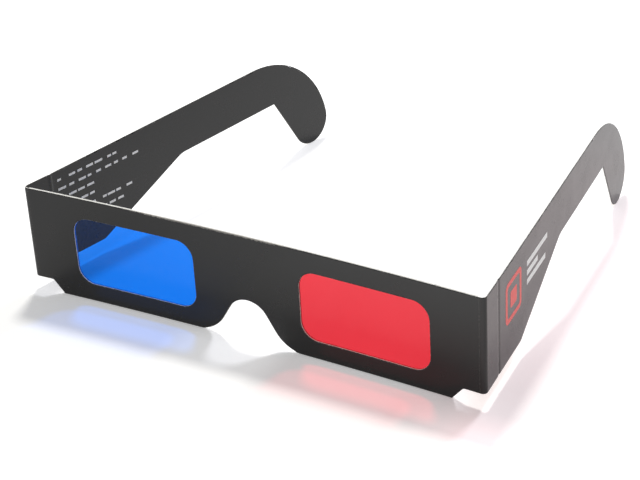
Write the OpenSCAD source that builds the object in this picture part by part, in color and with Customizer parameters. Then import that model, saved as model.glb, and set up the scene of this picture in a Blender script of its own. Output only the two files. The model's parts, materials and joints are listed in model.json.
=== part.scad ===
// Folding card glasses with one blue and one red film.
// Sizes are in millimetres. +X is the wearer's left, +Y runs back along the temples and +Z is up.
// The glasses stand on the folds under the front and on the tips of the two hooks.
// Right and left are the wearer's right and left.

/* [Card] */
// Thickness of the printed card
card_t = 0.4; // [0.3:0.05:0.6]
// Thickness of the coloured films and of the glue beside them
film_t = 0.15; // [0.1:0.05:0.3]
// Width of the bead that a crease turns on, in card thicknesses
bead_ratio = 1.5; // [1.5:0.1:2.2]
// Gap between a crease bead and the edge of the card beside it
crease_gap = 0.02; // [0.01:0.01:0.1]
// Rounding of the outside of the folds along the bottom edge
fold_r = 0.25; // [0.1:0.05:0.3]

/* [Front] */
// Width of the front from crease to crease
front_w = 140; // [132:1:155]
// Height of the front
front_h = 32; // [30:0.5:38]
// How far the middle of the front bows back
front_bow = 1.8; // [0.6:0.1:3]
// Height of the notch at each lower outer corner
notch_h = 4; // [2:0.25:6]
// Length of the level part of the notch, from the crease
notch_flat = 6.3; // [4:0.1:8]
// Width of the slanted side of the notch
notch_slant = 3.4; // [1:0.1:4]
// Distance from each front crease to the end of the back panel
back_inset = 2; // [1:0.25:4]

/* [Windows] */
// Width of each window
window_w = 38.2; // [34:0.2:40]
// Height of each window
window_h = 20.4; // [16:0.2:22]
// Radius of the corners of each window
window_r = 5; // [1:0.5:8]
// Distance between the middles of the two windows
window_pitch = 70.8; // [68:0.2:74]
// Height of the middle of the windows above the table
window_z = 15.7; // [15:0.1:18]
// How far each film reaches past its window
film_margin = 3; // [1.5:0.25:4]

/* [Glue] */
// Width of the glue pad at each end of the front
end_glue_w = 6; // [3:0.5:6]
// Width of the glue pad above the nose
bridge_glue_w = 22; // [12:1:23]
// Space above and below each glue pad
glue_inset = 1.2; // [0.5:0.1:2]

/* [Nose] */
// Height of the nose cut-out above the table
nose_h = 12.5; // [10:0.5:15]
// Radius of the top of the nose cut-out
nose_top_r = 6.5; // [4:0.5:8]
// Radius of the flare at each side of the nose cut-out
nose_flare_r = 10.5; // [6:0.5:13]
// Lean of the sides of the nose cut-out from upright, in degrees
nose_lean = 31; // [26:1:38]

/* [Temples] */
// Distance between the front crease and the temple crease
strip_w = 9.5; // [6:0.5:14]
// Length of the straight top edge of a temple, from its crease to the hook
arm_l = 81; // [70:1:95]
// Height of the narrow part of a temple
arm_h = 14.3; // [10:0.1:17]
// Length of the full-height part of a temple, from its crease
broad_l = 16.8; // [10:0.2:24]
// Length over which a temple narrows
taper_l = 32.2; // [24:0.2:40]
// Upward slope of a temple towards its hook, in degrees
arm_rise = 1.1; // [0:0.1:3]
// Inward lean of the right temple as it stands, in degrees
right_lean = 12.8; // [0:0.1:15]
// Inward lean of the left temple as it stands, in degrees
left_lean = 5.7; // [0:0.1:15]

/* [Hooks] */
// Radius of the outer curve of each hook
hook_r = 31; // [27:0.5:36]
// Radius of the round tip of each hook
tip_r = 7.3; // [5:0.1:9]
// Distance from the start of the outer curve to the inner corner of the hook
hook_in = 7.7; // [4:0.1:12]

/* [Hidden] */
$fn = 96;
card_black = [0.09, 0.09, 0.09];
crease_black = [0.16, 0.16, 0.16];
film_blue = [0.02, 0.42, 0.98, 0.6];
film_red = [0.95, 0.12, 0.2, 0.6];
glue_cream = [0.9, 0.87, 0.78];

// The front is bent to a wide arc about an upright axis in front of it.
bow_r = pow(front_w, 2) / (8 * front_bow) + front_bow / 2;
bow_fn = 1440;
// The arc is swept past both ends of the front, and the outline cuts it to length.
end_margin_a = 1;
bow_sweep = 2 * (asin(front_w / (2 * bow_r)) + end_margin_a);

// Layers of the front, as radii about the bow axis: card, film, card.
stack_t = 2 * card_t + film_t;
outline_depth = 2 * (front_bow + 2 * stack_t);
front_face_r = bow_r - card_t / 2;
film_face_r = front_face_r + card_t;
back_face_r = film_face_r + film_t;
fold_h = 2 * card_t;

// Creases: the card ends short of the bead on either side of it.
crease_r = bead_ratio * card_t / 2;
edge_gap = crease_r + crease_gap;
front_end_x = front_w / 2 - edge_gap;
back_end_x = front_w / 2 - back_inset;

// Films and glue lie in one layer, side by side.
window_x = window_pitch / 2;
film_w = window_w + 2 * film_margin;
film_h = window_h + 2 * film_margin;
bridge_glue_h = front_h - nose_h - 2 * glue_inset;
end_glue_h = front_h - notch_h - 2 * glue_inset;
end_glue_x = (window_x + film_w / 2 + back_end_x) / 2;

// Points along an arc. An arc that carries on from another one starts at step 1.
arc_steps = 24;
function arc_points(middle, r, from, to, step = 0) = [
    for (i = [step : arc_steps]) let (a = from + (to - from) * i / arc_steps) middle + r * [cos(a), sin(a)]
];

// Nose cut-out: a round top and two flares, joined by straight sides.
side_top_z = nose_h - nose_top_r * (1 - sin(nose_lean));
side_low_z = nose_flare_r * (1 - sin(nose_lean));
side_run = (side_top_z - side_low_z) * tan(nose_lean);
flare_x = (nose_top_r + nose_flare_r) * cos(nose_lean) + side_run;

// Temple outline, as distance from the front crease and height above the table.
// A point is given along the sloping top edge and square to it, from the top of the temple crease.
function arm_point(along, up) = [
    strip_w + along * cos(arm_rise) - up * sin(arm_rise),
    front_h + along * sin(arm_rise) + up * cos(arm_rise)
];
hook_c = arm_point(arm_l, -hook_r);
hook_corner = arm_point(arm_l + hook_in, -arm_h);

// The tip touches the outer curve from inside and stands on the table.
tip_a = asin((tip_r - hook_c[1]) / (hook_r - tip_r));
tip_c = hook_c + (hook_r - tip_r) * [cos(tip_a), sin(tip_a)];
corner_to_tip = tip_c - hook_corner;
inner_edge_a = atan2(corner_to_tip[1], corner_to_tip[0]) - asin(tip_r / norm(corner_to_tip));

// The origin is under the middle of the glasses, on the table.
temple_reach = hook_c[0] + (tip_a > 0 ? (hook_r - tip_r) * cos(tip_a) + tip_r : hook_r);
least_lean = min(right_lean, left_lean);
back_y = temple_reach * cos(least_lean) + card_t / 2 * sin(least_lean);
middle_y = (back_y - crease_r) / 2;

module place() {
    translate([0, -middle_y, 0]) children();
}

module mirrored_pair() {
    children();
    mirror([1, 0, 0]) children();
}

// A layer of the front between two radii, cut to a flat outline seen from the front.
module bowed_layer(inner_r, outer_r) {
    intersection() {
        translate([0, front_bow - bow_r, 0]) rotate([0, 0, 90 - bow_sweep / 2])
            rotate_extrude(angle = bow_sweep, $fn = bow_fn)
                translate([inner_r, 0]) square([outer_r - inner_r, front_h]);
        extruded_outline() children();
    }
}

module extruded_outline() {
    rotate([90, 0, 0]) linear_extrude(outline_depth, center = true) children();
}

module rounded_window() {
    straight_w = window_w - 2 * window_r;
    straight_h = window_h - 2 * window_r;
    translate([window_x, window_z]) {
        square([window_w, straight_h], center = true);
        square([straight_w, window_h], center = true);
        for (x = [-1, 1] * straight_w / 2, y = [-1, 1] * straight_h / 2)
            translate([x, y]) circle(window_r);
    }
}

module nose_cutout() {
    polygon(concat(
        [[-flare_x, -fold_h]],
        arc_points([-flare_x, nose_flare_r], nose_flare_r, -90, -nose_lean),
        arc_points([0, nose_h - nose_top_r], nose_top_r, 180 - nose_lean, nose_lean),
        arc_points([flare_x, nose_flare_r], nose_flare_r, 180 + nose_lean, 270),
        [[flare_x, -fold_h]]
    ));
}

// Outline of the front or back panel down to the table, with its notches and the nose cut-out.
module panel_outline(end_x) {
    level_x = front_w / 2 - notch_flat;
    slant_x = level_x - notch_slant;
    difference() {
        polygon([
            [-end_x, front_h], [-end_x, notch_h], [-level_x, notch_h], [-slant_x, 0],
            [slant_x, 0], [level_x, notch_h], [end_x, notch_h], [end_x, front_h]
        ]);
        nose_cutout();
    }
}

// Panel outline above the bottom fold, with both windows.
module panel_face(end_x) {
    difference() {
        panel_outline(end_x);
        mirrored_pair() rounded_window();
        translate([-front_w / 2, -fold_h]) square([front_w, 2 * fold_h]);
    }
}

module front_panel() {
    color(card_black) place() bowed_layer(front_face_r, film_face_r) panel_face(front_end_x);
}

module back_panel() {
    color(card_black) place() bowed_layer(back_face_r, back_face_r + card_t) panel_face(back_end_x);
}

// The card turned up under one side of the front, with the slit between its two layers.
module left_fold_shape() {
    fold_l = front_w / 2;
    intersection() {
        translate([0, front_bow - bow_r, 0]) rotate([0, 0, 90 - bow_sweep / 2])
            rotate_extrude(angle = bow_sweep, $fn = bow_fn) translate([front_face_r, 0]) fold_profile();
        extruded_outline() intersection() {
            panel_outline(back_end_x);
            square([fold_l, fold_h]);
        }
    }
}

module fold_profile() {
    difference() {
        union() {
            translate([0, fold_r]) square([stack_t, fold_h - fold_r]);
            translate([fold_r, 0]) square([stack_t - 2 * fold_r, fold_h]);
            for (x = [fold_r, stack_t - fold_r]) translate([x, fold_r]) circle(fold_r);
        }
        translate([card_t, card_t]) square([film_t, fold_h]);
    }
}

module right_bottom_fold() {
    color(card_black) place() mirror([1, 0, 0]) left_fold_shape();
}

module left_bottom_fold() {
    color(card_black) place() left_fold_shape();
}

module film_shape(x) {
    bowed_layer(film_face_r, back_face_r)
        translate([x, window_z]) square([film_w, film_h], center = true);
}

module right_lens_film() {
    color(film_blue) place() film_shape(-window_x);
}

module left_lens_film() {
    color(film_red) place() film_shape(window_x);
}

module left_end_glue_shape() {
    bowed_layer(film_face_r, back_face_r)
        translate([end_glue_x - end_glue_w / 2, notch_h + glue_inset]) square([end_glue_w, end_glue_h]);
}

module right_end_glue() {
    color(glue_cream) place() mirror([1, 0, 0]) left_end_glue_shape();
}

module bridge_glue() {
    color(glue_cream) place() bowed_layer(film_face_r, back_face_r)
        translate([-bridge_glue_w / 2, nose_h + glue_inset]) square([bridge_glue_w, bridge_glue_h]);
}

module left_end_glue() {
    color(glue_cream) place() left_end_glue_shape();
}

// Upright card that runs back from the left front crease at an inward lean.
module left_upright(lean) {
    translate([front_w / 2, 0, 0]) rotate([0, 0, 90 + lean]) children();
}

module upright_card() {
    rotate([90, 0, 0]) linear_extrude(card_t, center = true) children();
}

module crease_bead(along) {
    translate([along, 0, notch_h]) cylinder(r = crease_r, h = front_h - notch_h);
}

module strip_shape() {
    upright_card() translate([edge_gap, notch_h]) square([strip_w - 2 * edge_gap, front_h - notch_h]);
}

module temple_outline() {
    polygon(concat(
        [
            [strip_w + edge_gap, notch_h], [strip_w + broad_l, notch_h],
            arm_point(broad_l + taper_l, -arm_h), hook_corner
        ],
        arc_points(tip_c, tip_r, inner_edge_a - 90, -90),
        arc_points(tip_c, tip_r, -90, tip_a, 1),
        arc_points(hook_c, hook_r, tip_a, 90 + arm_rise, 1),
        [[strip_w + edge_gap, front_h]]
    ));
}

module temple_shape() {
    upright_card() temple_outline();
}

module right_front_crease() {
    color(crease_black) place() mirror([1, 0, 0]) left_upright(right_lean) crease_bead(0);
}

module right_hinge_strip() {
    color(card_black) place() mirror([1, 0, 0]) left_upright(right_lean) strip_shape();
}

module right_temple_crease() {
    color(crease_black) place() mirror([1, 0, 0]) left_upright(right_lean) crease_bead(strip_w);
}

module right_temple() {
    color(card_black) place() mirror([1, 0, 0]) left_upright(right_lean) temple_shape();
}

module left_front_crease() {
    color(crease_black) place() left_upright(left_lean) crease_bead(0);
}

module left_hinge_strip() {
    color(card_black) place() left_upright(left_lean) strip_shape();
}

module left_temple_crease() {
    color(crease_black) place() left_upright(left_lean) crease_bead(strip_w);
}

module left_temple() {
    color(card_black) place() left_upright(left_lean) temple_shape();
}

front_panel();
back_panel();
right_bottom_fold();
left_bottom_fold();
right_lens_film();
left_lens_film();
right_end_glue();
bridge_glue();
left_end_glue();
right_front_crease();
right_hinge_strip();
right_temple_crease();
right_temple();
left_front_crease();
left_hinge_strip();
left_temple_crease();
left_temple();
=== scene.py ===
# %% [markdown]
# # Folding card glasses with a blue and a red film
# The real object is one sheet of white board, printed black on both faces, die-cut, creased, folded
# over two films and glued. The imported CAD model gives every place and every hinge. This lesson dresses
# it: thin cut sheets with a rounded printed edge and a pale core, creases that really bend, see-through
# films, a little neutral print and the light of a white table.

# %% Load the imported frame
import json
import math

import bmesh
import bpy
import numpy as np
from mathutils import Matrix, Vector
from mathutils.geometry import delaunay_2d_cdt


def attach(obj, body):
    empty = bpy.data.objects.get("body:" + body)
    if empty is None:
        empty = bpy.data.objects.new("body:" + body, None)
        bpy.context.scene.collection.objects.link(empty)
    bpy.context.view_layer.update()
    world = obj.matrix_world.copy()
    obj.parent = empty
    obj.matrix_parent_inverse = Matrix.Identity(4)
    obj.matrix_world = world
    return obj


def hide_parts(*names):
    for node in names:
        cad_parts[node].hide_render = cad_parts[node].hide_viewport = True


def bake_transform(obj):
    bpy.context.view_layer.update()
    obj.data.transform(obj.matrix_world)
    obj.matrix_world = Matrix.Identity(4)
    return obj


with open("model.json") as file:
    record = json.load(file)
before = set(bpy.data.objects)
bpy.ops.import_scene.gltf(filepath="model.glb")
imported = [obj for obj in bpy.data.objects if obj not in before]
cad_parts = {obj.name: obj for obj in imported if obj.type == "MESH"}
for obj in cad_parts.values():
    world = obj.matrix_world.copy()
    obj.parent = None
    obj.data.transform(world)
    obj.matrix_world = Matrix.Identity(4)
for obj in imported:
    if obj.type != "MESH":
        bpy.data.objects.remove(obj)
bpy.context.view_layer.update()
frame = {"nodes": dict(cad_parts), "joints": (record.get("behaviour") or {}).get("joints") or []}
scene = bpy.context.scene
scene.view_settings.view_transform = "Standard"

# %% [markdown]
# ## Camera
# The glasses are seen from the wearer's front left and from above, through a long lens, and the camera
# was held a little out of level. An aim point, a distance and three angles say all of that, so the
# camera's axes are worked out from them instead of being typed in as a matrix.

# %% Camera
MM = 0.001
AIM = Vector((24.699, -60.545, 37.626)) * MM
DISTANCE = 470.043 * MM
AZIMUTH = math.radians(31.531)
ELEVATION = math.radians(29.3145)
ROLL = math.radians(-3.4176)

back = Vector((
    math.sin(AZIMUTH) * math.cos(ELEVATION),
    -math.cos(AZIMUTH) * math.cos(ELEVATION),
    math.sin(ELEVATION),
))
level_right = Vector((0, 0, 1)).cross(back).normalized()
level_up = back.cross(level_right)
right = level_right * math.cos(ROLL) + level_up * math.sin(ROLL)
up = level_up * math.cos(ROLL) - level_right * math.sin(ROLL)


def put_in_scene(name, data):
    """A new object with its data, linked to the scene."""
    thing = bpy.data.objects.new(name, data)
    scene.collection.objects.link(thing)
    return thing


lens = bpy.data.cameras.new("camera")
lens.sensor_width = 36.0
lens.lens = 105.778
lens.clip_start = 0.01
camera = put_in_scene("camera", lens)
turned = Matrix((right, up, back)).transposed()
camera.matrix_world = Matrix.Translation(AIM + back * DISTANCE) @ turned.to_4x4()
scene.camera = camera
print("camera at", [round(v, 3) for v in camera.matrix_world.translation])

# %% [markdown]
# ## Sizes of the folded card
# The sheet is worked out in millimetres, as a die maker would draw it. The fold lines come from the
# joints of the frame: the width of the front, the width of the strips between the creases and the lean
# of each temple. The rest repeats the driving sizes of the CAD model.

# %% Sizes
JOINTS = {joint["name"]: np.array(joint["pos_m"]) / MM for joint in frame["joints"]}
SIDES = {"left": 1, "right": -1}

CARD = 0.4
FILM = 0.15
STACK = 2 * CARD + FILM
FRONT_H = 32.0
BOW = 1.8
NOTCH_H = 4.0
NOTCH_FLAT = 6.3
NOTCH_SLANT = 3.4
BACK_INSET = 2.0
WINDOW = np.array((38.2, 20.4))
WINDOW_R = 5.0
WINDOW_PITCH = 70.8
WINDOW_Z = 15.7
FILM_MARGIN = 3.0
NOSE_H = 12.5
NOSE_TOP_R = 6.5
NOSE_FLARE_R = 10.5
NOSE_LEAN = 31.0
ARM_L = 81.0
ARM_H = 14.3
BROAD_L = 16.8
TAPER_L = 32.2
ARM_RISE = 1.1
HOOK_R = 31.0
TIP_R = 7.3
HOOK_IN = 7.7

HALF_W = JOINTS["left_front_fold"][0]
FOLD_Y = JOINTS["left_front_fold"][1]
STRIP = {side: JOINTS[side + "_temple_fold"] - JOINTS[side + "_front_fold"] for side in SIDES}
STRIP_W = float(np.hypot(STRIP["left"][0], STRIP["left"][1]))
LEAN = {side: math.atan2(abs(way[0]), way[1]) for side, way in STRIP.items()}
BOW_R = HALF_W**2 / (2 * BOW) + BOW / 2
END_SLOPE = math.asin(HALF_W / BOW_R)
print("strip", round(STRIP_W, 2), "mm, lean", {s: round(math.degrees(a), 2) for s, a in LEAN.items()})

# %% [markdown]
# ## Node helper
# Every material and every Geometry Nodes tree below is built from the same small helper: it adds a
# node, sets its options, and fills each input with a value or a wire. The other helpers wrap the few
# nodes that come back in nearly every finish, so that a finish reads as a list of what it shows.

# %% Node helper
def add_node(tree, kind, inputs=None, **options):
    """A new node, with its options set and each input filled by a value or wired to a socket."""
    node = tree.nodes.new(kind)
    for option, value in options.items():
        setattr(node, option, value)
    for key, value in (inputs or {}).items():
        if isinstance(value, bpy.types.NodeSocket):
            tree.links.new(value, node.inputs[key])
        else:
            node.inputs[key].default_value = value
    return node


def new_material(name):
    """An empty node material, its tree and the place on the piece that its patterns follow."""
    material = bpy.data.materials.new(name)
    material.use_nodes = True
    tree = material.node_tree
    tree.nodes.clear()
    return material, tree, add_node(tree, "ShaderNodeTexCoord").outputs["Object"]


def noise(tree, place, scale, detail=2.0, roughness=0.5):
    """Cloudy noise; scale is in features for each metre."""
    settings = {"Vector": place, "Scale": scale, "Detail": detail, "Roughness": roughness}
    return add_node(tree, "ShaderNodeTexNoise", settings).outputs[0]


def remap(tree, value, low, high, to_low, to_high):
    """Maps low..high to to_low..to_high and holds it there."""
    ends = {"Value": value, "From Min": low, "From Max": high, "To Min": to_low, "To Max": to_high}
    return add_node(tree, "ShaderNodeMapRange", ends).outputs[0]


def calculate(tree, operation, first, *others):
    """One kind of sum over two values or more, from the left."""
    for other in others:
        first = add_node(tree, "ShaderNodeMath", {0: first, 1: other}, operation=operation).outputs[0]
    return first


def blend_colours(tree, factor, first, second):
    """A mix of two colours."""
    mixed = add_node(tree, "ShaderNodeMix", {0: factor, 6: first, 7: second}, data_type="RGBA")
    return mixed.outputs[2]


def bumped(tree, height, strength, depth):
    """A normal that follows a height; depth is in metres."""
    settings = {"Strength": strength, "Distance": depth, "Height": height}
    return add_node(tree, "ShaderNodeBump", settings).outputs[0]


def finish_surface(tree, colour, rough, ior, normal):
    """Ends the tree of an opaque material."""
    shader = add_node(tree, "ShaderNodeBsdfPrincipled", {
        "Base Color": colour, "Roughness": rough, "IOR": ior, "Normal": normal,
    })
    add_node(tree, "ShaderNodeOutputMaterial", {"Surface": shader.outputs[0]})


print("node helpers ready")

# %% [markdown]
# ## Printed card
# Board for such glasses is printed solid black and varnished satin. Close up it shows the paper's grain,
# slight cloudiness of the ink, tiny chips along the die-cut edges, cracked ink on the score lines and a
# rubbed stretch of the top edge, where fingers hold it. The meshes below carry two attributes for that,
# the distance to the nearest cut edge and to the nearest score line, both in millimetres, so wear
# follows the real edges wherever they run.

# %% Printed card
HELD_X = -11.0 * MM
HELD_HALF = 16.0 * MM
HELD_FADE = 28.0 * MM
HELD_ABOVE = 30.5 * MM
BARE_BOARD = (0.42, 0.40, 0.37, 1)


def printed_card():
    """Black satin print on board, with chipped edges and cracked score lines."""
    material, tree, place = new_material("printed_card")
    cloud = noise(tree, place, 130.0, 4.0, 0.6)
    grain = noise(tree, place, 2400.0, 3.0, 0.65)
    speck = noise(tree, place, 3600.0, 2.0, 0.5)
    edge = add_node(tree, "ShaderNodeAttribute", attribute_name="edge_mm").outputs["Fac"]
    score = add_node(tree, "ShaderNodeAttribute", attribute_name="score_mm").outputs["Fac"]

    near_edge = remap(tree, edge, 0.0, 0.5, 0.3, 0.0)
    spot = add_node(tree, "ShaderNodeSeparateXYZ", {0: place}).outputs
    off_middle = calculate(tree, "ABSOLUTE", calculate(tree, "SUBTRACT", spot["X"], HELD_X), 0.0)
    at_middle = remap(tree, off_middle, HELD_HALF, HELD_FADE, 0.34, 0.0)
    at_edge = remap(tree, edge, 0.0, 1.0, 1.0, 0.0)
    at_top = calculate(tree, "GREATER_THAN", spot["Z"], HELD_ABOVE)
    held = calculate(tree, "MULTIPLY", at_middle, at_edge, at_top)
    chip_chance = calculate(tree, "ADD", speck, near_edge, held)
    chip = remap(tree, chip_chance, 0.82, 0.90, 0.0, 0.9)
    on_score = remap(tree, score, 0.0, 0.2, 0.19, 0.0)
    crack = calculate(tree, "MULTIPLY", on_score, remap(tree, speck, 0.4, 0.7, 0.0, 1.0))
    worn = calculate(tree, "MAXIMUM", chip, crack)

    ink = blend_colours(tree, cloud, (0.0060, 0.0060, 0.0062, 1), (0.0115, 0.0113, 0.0112, 1))
    colour = blend_colours(tree, worn, ink, BARE_BOARD)
    satin = remap(tree, cloud, 0.3, 0.7, 0.22, 0.29)
    dull = calculate(tree, "ADD", satin, remap(tree, worn, 0.0, 1.0, 0.0, 0.35))
    relief = calculate(tree, "SUBTRACT", grain, worn)
    finish_surface(tree, colour, dull, 1.4, bumped(tree, relief, 0.18, 0.04 * MM))
    return material


CARD_INK = printed_card()
print("made", CARD_INK.name)

# %% [markdown]
# ## Board core
# The die leaves the inside of the board bare: a pale, slightly furry edge with thin layers of pulp and
# a few smears of ink dragged over it. It is matt, and its grain is finer than the sheet is thick.

# %% Board core
def board_core():
    """The bare cut edge of the board."""
    material, tree, place = new_material("board_core")
    pulp = noise(tree, place, 5200.0, 4.0, 0.7)
    smear = noise(tree, place, 420.0, 3.0, 0.6)
    pale = blend_colours(tree, pulp, (0.86, 0.85, 0.81, 1), (0.97, 0.965, 0.94, 1))
    inked = remap(tree, smear, 0.62, 0.76, 0.0, 0.6)
    colour = blend_colours(tree, inked, pale, (0.16, 0.155, 0.15, 1))
    rough = remap(tree, pulp, 0.3, 0.7, 0.8, 0.95)
    finish_surface(tree, colour, rough, 1.45, bumped(tree, pulp, 0.5, 0.06 * MM))
    return material


CORE = board_core()
print("made", CORE.name)

# %% [markdown]
# ## Films
# A dyed film colours what is seen through it and the light that passes it, and mirrors a little of the
# room. Glass with refraction would be slow and noisy for a flat film, so a tinted Transparent shader
# does the colour, and a weak glossy layer does the sheen. A ray crosses two faces of the film, so each
# face carries the square root of the whole tint. Facing is used for the sheen, because a Fresnel node
# takes the far face for the inside of a lens and turns it into a mirror.

# %% Films
FACING_MIRROR = 0.018


def dyed_film(name, tint, lighter):
    """A clear film with a dye that varies a little and a fine, faintly scratched surface."""
    material, tree, place = new_material(name)
    dye = noise(tree, place, 70.0, 2.0, 0.5)
    colour = blend_colours(tree, dye, tint, lighter)
    stretch = add_node(tree, "ShaderNodeMapping", {"Vector": place, "Scale": (1.0, 1.0, 9.0)}).outputs[0]
    scratch = noise(tree, stretch, 260.0, 3.0, 0.6)
    facing = add_node(tree, "ShaderNodeLayerWeight", {"Blend": 0.5}).outputs["Facing"]
    grazing = calculate(tree, "POWER", facing, 5.0)
    mirror = remap(tree, grazing, 0.0, 1.0, FACING_MIRROR, 1.0)
    through = add_node(tree, "ShaderNodeBsdfTransparent", {"Color": colour})
    sheen = add_node(tree, "ShaderNodeBsdfGlossy", {
        "Color": (1, 1, 1, 1), "Roughness": 0.12, "Normal": bumped(tree, scratch, 0.1, 0.04 * MM),
    })
    film = add_node(tree, "ShaderNodeMixShader", {0: mirror, 1: through.outputs[0], 2: sheen.outputs[0]})
    add_node(tree, "ShaderNodeOutputMaterial", {"Surface": film.outputs[0]})
    return material


BLUE_FILM = dyed_film("blue_film", (0.035, 0.394, 0.848, 1), (0.045, 0.412, 0.863, 1))
RED_FILM = dyed_film("red_film", (0.81, 0.161, 0.202, 1), (0.83, 0.181, 0.222, 1))
print("made", BLUE_FILM.name, "and", RED_FILM.name)

# %% [markdown]
# ## Glue
# The three glue areas are inside the folded front. They keep their CAD solids, and get a milky, slightly
# uneven dried glue in place of the plain colour they came with.

# %% Glue
def dried_glue():
    """Milky white glue that dried between two sheets."""
    material, tree, place = new_material("dried_glue")
    streak = noise(tree, place, 380.0, 3.0, 0.55)
    colour = blend_colours(tree, streak, (0.70, 0.66, 0.54, 1), (0.86, 0.83, 0.74, 1))
    rough = remap(tree, streak, 0.3, 0.7, 0.35, 0.6)
    finish_surface(tree, colour, rough, 1.47, bumped(tree, streak, 0.3, 0.08 * MM))
    return material


GLUE = dried_glue()
for node in ("right_end_glue", "bridge_glue", "left_end_glue"):
    frame["nodes"][node].data.materials.clear()
    frame["nodes"][node].data.materials.append(GLUE)
print("glue on three CAD nodes")

# %% [markdown]
# ## Outlines
# A die line is a closed outline, drawn counter-clockwise, with clockwise outlines for its windows. The
# helpers here spread points along it, tell the edges that the die cut from those where the sheet goes
# on into a fold, move a cut edge inwards, and measure how far a point is from the edges.

# %% Outlines
DIE_STEP = 0.7


def arc(centre, radius, start, end, step=3.0):
    """Points along an arc, from one angle to another in degrees."""
    count = max(2, math.ceil(abs(end - start) / step))
    turns = np.radians(np.linspace(start, end, count + 1))
    return [(centre[0] + radius * math.cos(a), centre[1] + radius * math.sin(a)) for a in turns]


def soft_corner(before, corner, after, radius):
    """Points of a fillet that rounds the corner between two straight edges."""
    before, corner, after = (np.array(point, float) for point in (before, corner, after))
    back = (before - corner) / np.hypot(*(before - corner))
    onward = (after - corner) / np.hypot(*(after - corner))
    half = math.acos(back @ onward) / 2
    reach = radius / math.tan(half)
    centre = corner + (back + onward) / np.hypot(*(back + onward)) * radius / math.sin(half)
    first = corner + back * reach - centre
    last = corner + onward * reach - centre
    start = math.degrees(math.atan2(first[1], first[0]))
    turn = math.degrees(math.atan2(first[0] * last[1] - first[1] * last[0], first @ last))
    return arc(centre, radius, start, start + turn, 6.0)


def spread(corners, step):
    """A closed outline with points added so that no two neighbours are further apart than step."""
    corners = np.array(corners, float)
    points = []
    for here, there in zip(corners, np.roll(corners, -1, axis=0)):
        count = max(1, math.ceil(np.hypot(*(there - here)) / step - 1e-6))
        points.extend(here + (there - here) * k / count for k in range(count))
    return np.array(points)


print("an arc of", len(arc((0, 0), 1, 0, 90)), "points for a quarter turn")

# %% Cut edges
FAR_OFF = 9.0


def cut_edges(points, open_lines):
    """True for each edge that the die cut, False on a line where the sheet goes on into a fold."""
    after = np.roll(points, -1, axis=0)
    cut = np.ones(len(points), bool)
    for axis, value in open_lines:
        on_line = (abs(points[:, axis] - value) < 1e-6) & (abs(after[:, axis] - value) < 1e-6)
        cut &= ~on_line
    return cut


def move_in(points, cut, amount):
    """The outline with its cut edges moved into the sheet."""
    ahead = np.roll(points, -1, axis=0) - points
    ahead /= np.linalg.norm(ahead, axis=1)[:, None]
    inward = np.stack([-ahead[:, 1], ahead[:, 0]], axis=1)
    gap = np.where(cut, amount, 0.0)
    inward_before = np.roll(inward, 1, axis=0)
    gap_before = np.roll(gap, 1)
    turn = inward_before[:, 0] * inward[:, 1] - inward_before[:, 1] * inward[:, 0]
    straight = abs(turn) < 0.02
    turn = np.where(straight, 1.0, turn)
    corner = np.stack([
        gap_before * inward[:, 1] - gap * inward_before[:, 1],
        gap * inward_before[:, 0] - gap_before * inward[:, 0],
    ], axis=1) / turn[:, None]
    along = (inward_before * gap_before[:, None] + inward * gap[:, None]) / 2
    return points + np.where(straight[:, None], along, corner)


def inside(points, loops):
    """True for points in the sheet: a line up from them crosses an odd number of edges."""
    odd = np.zeros(len(points), bool)
    for loop in loops:
        for here, there in zip(loop, np.roll(loop, -1, axis=0)):
            if here[0] == there[0]:
                continue
            between = (here[0] > points[:, 0]) != (there[0] > points[:, 0])
            share = (points[:, 0] - here[0]) / (there[0] - here[0])
            odd ^= between & (points[:, 1] < here[1] + share * (there[1] - here[1]))
    return odd


def edge_distance(points, loops, cuts):
    """Distance from each point to the nearest cut edge, or FAR_OFF if none is nearer."""
    nearest = np.full(len(points), FAR_OFF)
    for loop, cut in zip(loops, cuts):
        for here, there in zip(loop[cut], np.roll(loop, -1, axis=0)[cut]):
            way = there - here
            share = np.clip((points - here) @ way / (way @ way), 0, 1)
            nearest = np.minimum(nearest, np.hypot(*(points - here - share[:, None] * way).T))
    return nearest


print("wear is measured up to", FAR_OFF, "mm from an edge")

# %% [markdown]
# ## Cut sheets
# Each piece of card is a closed thin solid. Its edge is built ring by ring: the printed face rolls over
# the edge a little, as the die pressed it, then comes the bare core, then the face behind. A Delaunay
# fill closes both faces, with a row of points just inside the edge, so that smooth shading keeps the
# roll of the edge off the flat face. A place function then bends the flat sheet to where it belongs.

# %% Fill of a sheet
NEAR_EDGE = 0.5


def fill_points(loops, cuts, grid):
    """Points inside a sheet: a row close to its cut edges and a grid over the rest."""
    every = [np.ones(len(loop), bool) for loop in loops]
    row = np.concatenate([move_in(loop, cut, NEAR_EDGE)[cut] for loop, cut in zip(loops, cuts)])
    row = row[edge_distance(row, loops, every) > 0.8 * NEAR_EDGE]
    low = loops[0].min(axis=0)
    high = loops[0].max(axis=0)
    columns = np.linspace(low[0], high[0], max(2, round((high[0] - low[0]) / grid)) + 1)[1:-1]
    levels = np.linspace(low[1], high[1], max(2, round((high[1] - low[1]) / grid)) + 1)[1:-1]
    net = np.array([(x, z) for x in columns for z in levels])
    net = net[edge_distance(net, loops, every) > 2 * NEAR_EDGE]
    points = np.concatenate([row, net])
    return points[inside(points, loops)]


def fill_faces(rings, inner):
    """Counter-clockwise triangles over the sheet, as numbers of the ring points, then the inner ones."""
    points = np.concatenate([*rings, inner])
    edges = []
    for ring in rings:
        first = len(edges)
        edges.extend((first + i, first + (i + 1) % len(ring)) for i in range(len(ring)))
    found = delaunay_2d_cdt([Vector(p) for p in points], edges, [], 0, 1e-7)
    number = [sources[0] for sources in found[3]]
    faces = np.array([[number[v] for v in face] for face in found[2]])
    return faces[inside(points[faces].mean(axis=1), rings)]


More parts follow.
